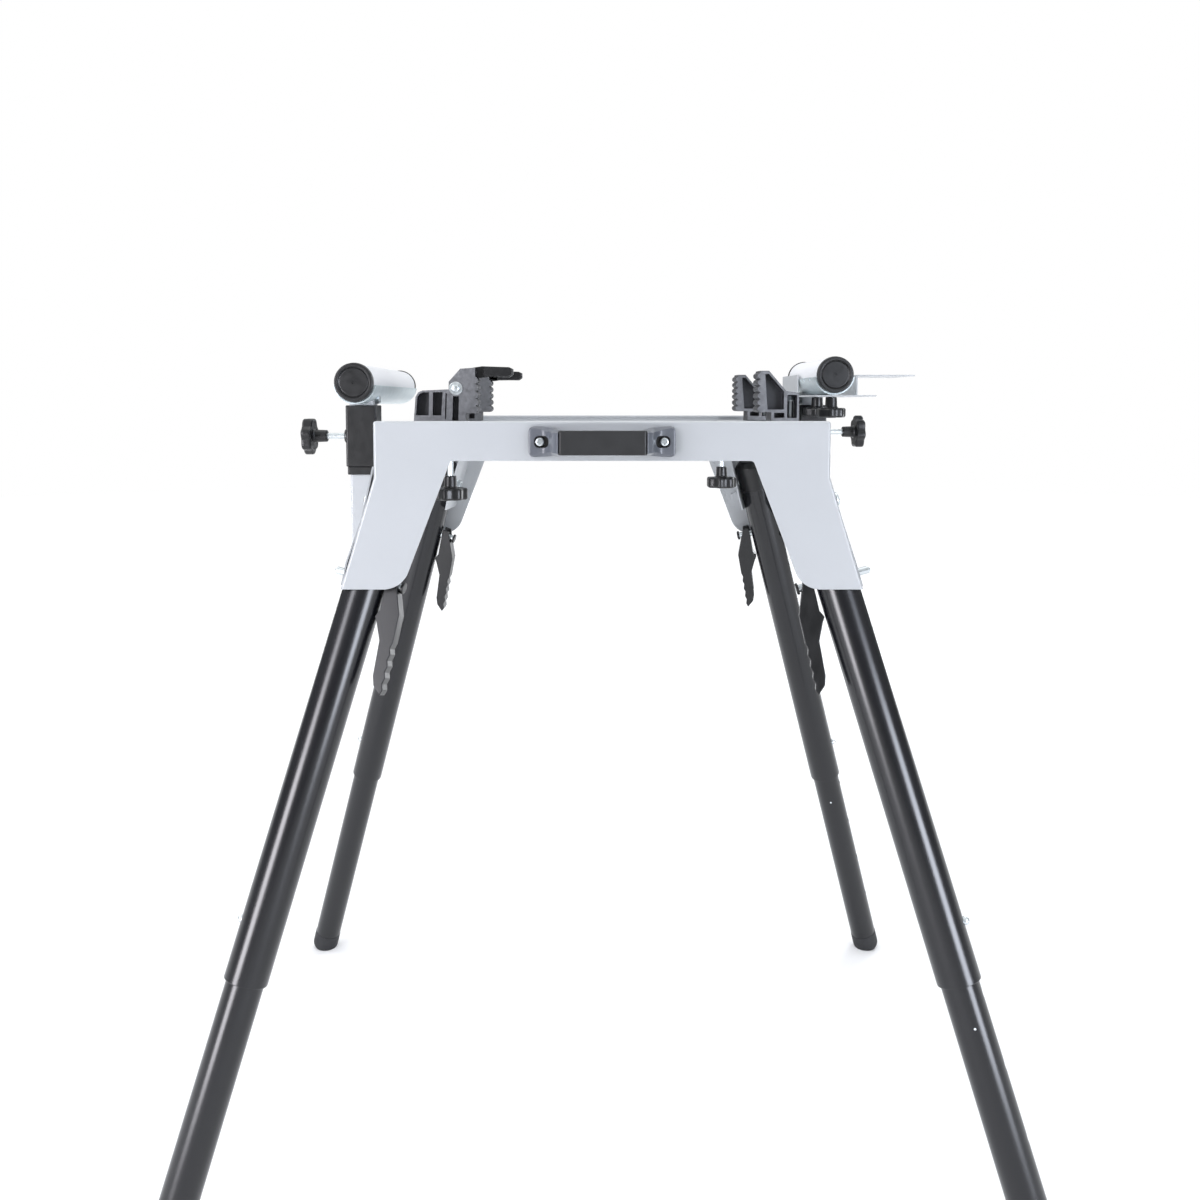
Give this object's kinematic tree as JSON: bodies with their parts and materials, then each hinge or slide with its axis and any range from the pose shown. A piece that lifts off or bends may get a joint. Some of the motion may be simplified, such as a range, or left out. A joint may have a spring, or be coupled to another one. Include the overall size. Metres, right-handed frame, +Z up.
{
  "type": "miter saw stand",
  "caption": "Folding stand with telescopic splayed legs, sliding roller supports on both sides, a workpiece stop, saw clamps on square rails and a carry handle.",
  "frame": {"origin": "on the floor below the middle of the stand, at the centre of the four feet", "axes": "+Z up, +X to the right along the workpiece, -Y towards the side with the carry handle"},
  "size_m": [0.7948, 0.6798, 0.8136],
  "materials": {
    "panel_paint": "light grey powder coat",
    "leg_paint": "gloss black paint",
    "tube_paint": "pale grey paint",
    "roller_sleeve": "bright roller sleeve with black caps",
    "zinc": "bright zinc plate",
    "black_plastic": "black moulded plastic",
    "grey_casting": "grey painted die casting",
    "lever_nylon": "dark grey glass-filled nylon",
    "foot_rubber": "black rubber"
  },
  "bodies": {
    "stand_frame": {"front_panel": "panel_paint", "back_panel": "panel_paint", "rail_frame": "panel_paint", "carry_handle": "black_plastic", "handle_screw_left": "zinc", "handle_screw_right": "zinc", "front_left_hinge_bracket": "panel_paint", "front_left_pivot_bolt": "zinc", "front_right_hinge_bracket": "panel_paint", "front_right_pivot_bolt": "zinc", "back_left_hinge_bracket": "panel_paint", "back_left_pivot_bolt": "zinc", "back_right_hinge_bracket": "panel_paint", "back_right_pivot_bolt": "zinc"},
    "front_left_leg": {"front_left_leg_upper": "leg_paint"},
    "front_left_extension": {"front_left_leg_lower": "leg_paint", "front_left_foot": "foot_rubber"},
    "front_left_release_lever": {"front_left_lever": "lever_nylon"},
    "front_left_pin": {"front_left_lock_pin": "zinc"},
    "front_left_button": {"front_left_spring_button": "zinc"},
    "front_right_leg": {"front_right_leg_upper": "leg_paint"},
    "front_right_extension": {"front_right_leg_lower": "leg_paint", "front_right_foot": "foot_rubber"},
    "front_right_release_lever": {"front_right_lever": "lever_nylon"},
    "front_right_pin": {"front_right_lock_pin": "zinc"},
    "front_right_button": {"front_right_spring_button": "zinc"},
    "back_left_leg": {"back_left_leg_upper": "leg_paint"},
    "back_left_extension": {"back_left_leg_lower": "leg_paint", "back_left_foot": "foot_rubber"},
    "back_left_release_lever": {"back_left_lever": "lever_nylon"},
    "back_left_pin": {"back_left_lock_pin": "zinc"},
    "back_left_button": {"back_left_spring_button": "zinc"},
    "back_right_leg": {"back_right_leg_upper": "leg_paint"},
    "back_right_extension": {"back_right_leg_lower": "leg_paint", "back_right_foot": "foot_rubber"},
    "back_right_release_lever": {"back_right_lever": "lever_nylon"},
    "back_right_pin": {"back_right_lock_pin": "zinc"},
    "back_right_button": {"back_right_spring_button": "zinc"},
    "left_slider": {"left_arm": "tube_paint", "left_sleeve": "black_plastic"},
    "left_support": {"left_post": "tube_paint"},
    "left_roller_body": {"left_roller": "roller_sleeve"},
    "left_post_screw": {"left_post_knob": "black_plastic"},
    "left_arm_screw": {"left_arm_knob": "black_plastic"},
    "right_slider": {"right_arm": "tube_paint", "right_sleeve": "black_plastic"},
    "right_support": {"right_post": "tube_paint"},
    "right_roller_body": {"right_roller": "roller_sleeve"},
    "right_post_screw": {"right_post_knob": "black_plastic"},
    "right_arm_screw": {"right_arm_knob": "black_plastic"},
    "stop": {"stop_plate": "panel_paint"},
    "stop_screw_front": {"stop_knob_front": "black_plastic"},
    "stop_screw_back": {"stop_knob_back": "black_plastic"},
    "front_left_clamp_body": {"front_left_clamp": "grey_casting"},
    "front_right_clamp_body": {"front_right_clamp": "grey_casting"},
    "front_hold_down": {"front_hold_down_finger": "black_plastic"},
    "back_left_clamp_body": {"back_left_clamp": "grey_casting"},
    "back_right_clamp_body": {"back_right_clamp": "grey_casting"},
    "back_hold_down": {"back_hold_down_finger": "black_plastic"}
  },
  "joints": [
    {"name": "front_left_leg_fold", "type": "hinge", "parent": "stand_frame", "child": "front_left_leg", "pos_m": [-0.19433, -0.17636, 0.672], "axis": [0.9503, -0.2222, -0.218], "range_deg": [0, 85.8]},
    {"name": "front_left_leg_length", "type": "slide", "parent": "front_left_leg", "child": "front_left_extension", "axis": [0.2648, 0.2084, 0.9415], "range_m": [0, 0.24]},
    {"name": "front_left_lever_squeeze", "type": "hinge", "parent": "front_left_leg", "child": "front_left_release_lever", "pos_m": [-0.20183, -0.20147, 0.5741], "axis": [0.1638, 0.9525, -0.2568], "range_deg": [0, 13.5], "stiffness_Nm_per_rad": 1.5, "springref_deg": -5.73},
    {"name": "front_left_pin_pull", "type": "slide", "parent": "front_left_leg", "child": "front_left_pin", "axis": [0.9503, -0.2222, -0.218], "range_m": [0, 0.0072]},
    {"name": "front_left_button_press", "type": "slide", "parent": "front_left_leg", "child": "front_left_button", "axis": [0.9503, -0.2222, -0.218], "range_m": [0, 0.0045], "stiffness_N_per_m": 800, "springref_m": -0.002},
    {"name": "front_right_leg_fold", "type": "hinge", "parent": "stand_frame", "child": "front_right_leg", "pos_m": [0.19433, -0.17636, 0.672], "axis": [0.9492, -0.1158, 0.2925], "range_deg": [0, 80.2]},
    {"name": "front_right_leg_length", "type": "slide", "parent": "front_right_leg", "child": "front_right_extension", "axis": [-0.2648, 0.2084, 0.9415], "range_m": [0, 0.24]},
    {"name": "front_right_lever_squeeze", "type": "hinge", "parent": "front_right_leg", "child": "front_right_release_lever", "pos_m": [0.20186, -0.19478, 0.57262], "axis": [-0.17, -0.9712, 0.1671], "range_deg": [0, 13.5], "stiffness_Nm_per_rad": 1.5, "springref_deg": -5.73},
    {"name": "front_right_pin_pull", "type": "slide", "parent": "front_right_leg", "child": "front_right_pin", "axis": [-0.9492, 0.1158, -0.2925], "range_m": [0, 0.0072]},
    {"name": "front_right_button_press", "type": "slide", "parent": "front_right_leg", "child": "front_right_button", "axis": [-0.9492, 0.1158, -0.2925], "range_m": [0, 0.0045], "stiffness_N_per_m": 800, "springref_m": -0.002},
    {"name": "back_left_leg_fold", "type": "hinge", "parent": "stand_frame", "child": "back_left_leg", "pos_m": [-0.19433, 0.17636, 0.672], "axis": [-0.9492, 0.1158, 0.2925], "range_deg": [0, 80.2]},
    {"name": "back_left_leg_length", "type": "slide", "parent": "back_left_leg", "child": "back_left_extension", "axis": [0.2648, -0.2084, 0.9415], "range_m": [0, 0.24]},
    {"name": "back_left_lever_squeeze", "type": "hinge", "parent": "back_left_leg", "child": "back_left_release_lever", "pos_m": [-0.20186, 0.19478, 0.57262], "axis": [0.17, 0.9712, 0.1671], "range_deg": [0, 13.5], "stiffness_Nm_per_rad": 1.5, "springref_deg": -5.73},
    {"name": "back_left_pin_pull", "type": "slide", "parent": "back_left_leg", "child": "back_left_pin", "axis": [0.9492, -0.1158, -0.2925], "range_m": [0, 0.0072]},
    {"name": "back_left_button_press", "type": "slide", "parent": "back_left_leg", "child": "back_left_button", "axis": [0.9492, -0.1158, -0.2925], "range_m": [0, 0.0045], "stiffness_N_per_m": 800, "springref_m": -0.002},
    {"name": "back_right_leg_fold", "type": "hinge", "parent": "stand_frame", "child": "back_right_leg", "pos_m": [0.19433, 0.17636, 0.672], "axis": [-0.9503, 0.2222, -0.218], "range_deg": [0, 85.8]},
    {"name": "back_right_leg_length", "type": "slide", "parent": "back_right_leg", "child": "back_right_extension", "axis": [-0.2648, -0.2084, 0.9415], "range_m": [0, 0.24]},
    {"name": "back_right_lever_squeeze", "type": "hinge", "parent": "back_right_leg", "child": "back_right_release_lever", "pos_m": [0.20183, 0.20147, 0.5741], "axis": [-0.1638, -0.9525, -0.2568], "range_deg": [0, 13.5], "stiffness_Nm_per_rad": 1.5, "springref_deg": -5.73},
    {"name": "back_right_pin_pull", "type": "slide", "parent": "back_right_leg", "child": "back_right_pin", "axis": [-0.9503, 0.2222, -0.218], "range_m": [0, 0.0072]},
    {"name": "back_right_button_press", "type": "slide", "parent": "back_right_leg", "child": "back_right_button", "axis": [-0.9503, 0.2222, -0.218], "range_m": [0, 0.0045], "stiffness_N_per_m": 800, "springref_m": -0.002},
    {"name": "left_arm_extend", "type": "slide", "parent": "stand_frame", "child": "left_slider", "axis": [-1, 0, 0], "range_m": [0, 0.3]},
    {"name": "left_post_raise", "type": "slide", "parent": "left_slider", "child": "left_support", "axis": [0, 0, 1], "range_m": [0, 0.08]},
    {"name": "left_roller_spin", "type": "hinge", "parent": "left_support", "child": "left_roller_body", "pos_m": [-0.236, 0, 0.7855], "axis": [0, 1, 0], "continuous": true},
    {"name": "left_post_knob_turn", "type": "hinge", "parent": "left_slider", "child": "left_post_screw", "pos_m": [-0.236, -0.0795, 0.733], "axis": [-1, 0, 0], "continuous": true},
    {"name": "left_arm_knob_turn", "type": "hinge", "parent": "stand_frame", "child": "left_arm_screw", "pos_m": [-0.15, -0.0795, 0.669], "axis": [0, 0, -1], "continuous": true},
    {"name": "right_arm_extend", "type": "slide", "parent": "stand_frame", "child": "right_slider", "axis": [1, 0, 0], "range_m": [0, 0.3]},
    {"name": "right_post_raise", "type": "slide", "parent": "right_slider", "child": "right_support", "axis": [0, 0, 1], "range_m": [0, 0.08]},
    {"name": "right_roller_spin", "type": "hinge", "parent": "right_support", "child": "right_roller_body", "pos_m": [0.243, 0, 0.795], "axis": [0, 1, 0], "continuous": true},
    {"name": "right_post_knob_turn", "type": "hinge", "parent": "right_slider", "child": "right_post_screw", "pos_m": [0.243, 0.0795, 0.733], "axis": [1, 0, 0], "continuous": true},
    {"name": "right_arm_knob_turn", "type": "hinge", "parent": "stand_frame", "child": "right_arm_screw", "pos_m": [0.1417, 0.0795, 0.669], "axis": [0, 0, -1], "continuous": true},
    {"name": "stop_slide", "type": "slide", "parent": "right_support", "child": "stop", "axis": [-1, 0, 0], "range_m": [0, 0.018]},
    {"name": "stop_knob_front_turn", "type": "hinge", "parent": "right_support", "child": "stop_screw_front", "pos_m": [0.243, -0.025, 0.76], "axis": [0, 0, -1], "continuous": true},
    {"name": "stop_knob_back_turn", "type": "hinge", "parent": "right_support", "child": "stop_screw_back", "pos_m": [0.243, 0.0455, 0.76], "axis": [0, 0, -1], "continuous": true},
    {"name": "front_left_clamp_slide", "type": "slide", "parent": "stand_frame", "child": "front_left_clamp_body", "axis": [1, 0, 0], "range_m": [0, 0.1]},
    {"name": "front_right_clamp_slide", "type": "slide", "parent": "stand_frame", "child": "front_right_clamp_body", "axis": [-1, 0, 0], "range_m": [0, 0.1]},
    {"name": "front_hold_down_flip", "type": "hinge", "parent": "front_left_clamp_body", "child": "front_hold_down", "pos_m": [-0.1245, -0.0795, 0.7959], "axis": [0, -1, 0], "range_deg": [0, 100]},
    {"name": "back_left_clamp_slide", "type": "slide", "parent": "stand_frame", "child": "back_left_clamp_body", "axis": [1, 0, 0], "range_m": [0, 0.1]},
    {"name": "back_right_clamp_slide", "type": "slide", "parent": "stand_frame", "child": "back_right_clamp_body", "axis": [-1, 0, 0], "range_m": [0, 0.1]},
    {"name": "back_hold_down_flip", "type": "hinge", "parent": "back_left_clamp_body", "child": "back_hold_down", "pos_m": [-0.1245, 0.0795, 0.7959], "axis": [0, -1, 0], "range_deg": [0, 100]}
  ],
  "couplings": [
    {"joint": "front_left_pin_pull", "follows": "front_left_lever_squeeze", "m_per_rad": 0.0301},
    {"joint": "front_right_pin_pull", "follows": "front_right_lever_squeeze", "m_per_rad": 0.0301},
    {"joint": "back_left_pin_pull", "follows": "back_left_lever_squeeze", "m_per_rad": 0.0301},
    {"joint": "back_right_pin_pull", "follows": "back_right_lever_squeeze", "m_per_rad": 0.0301}
  ]
}
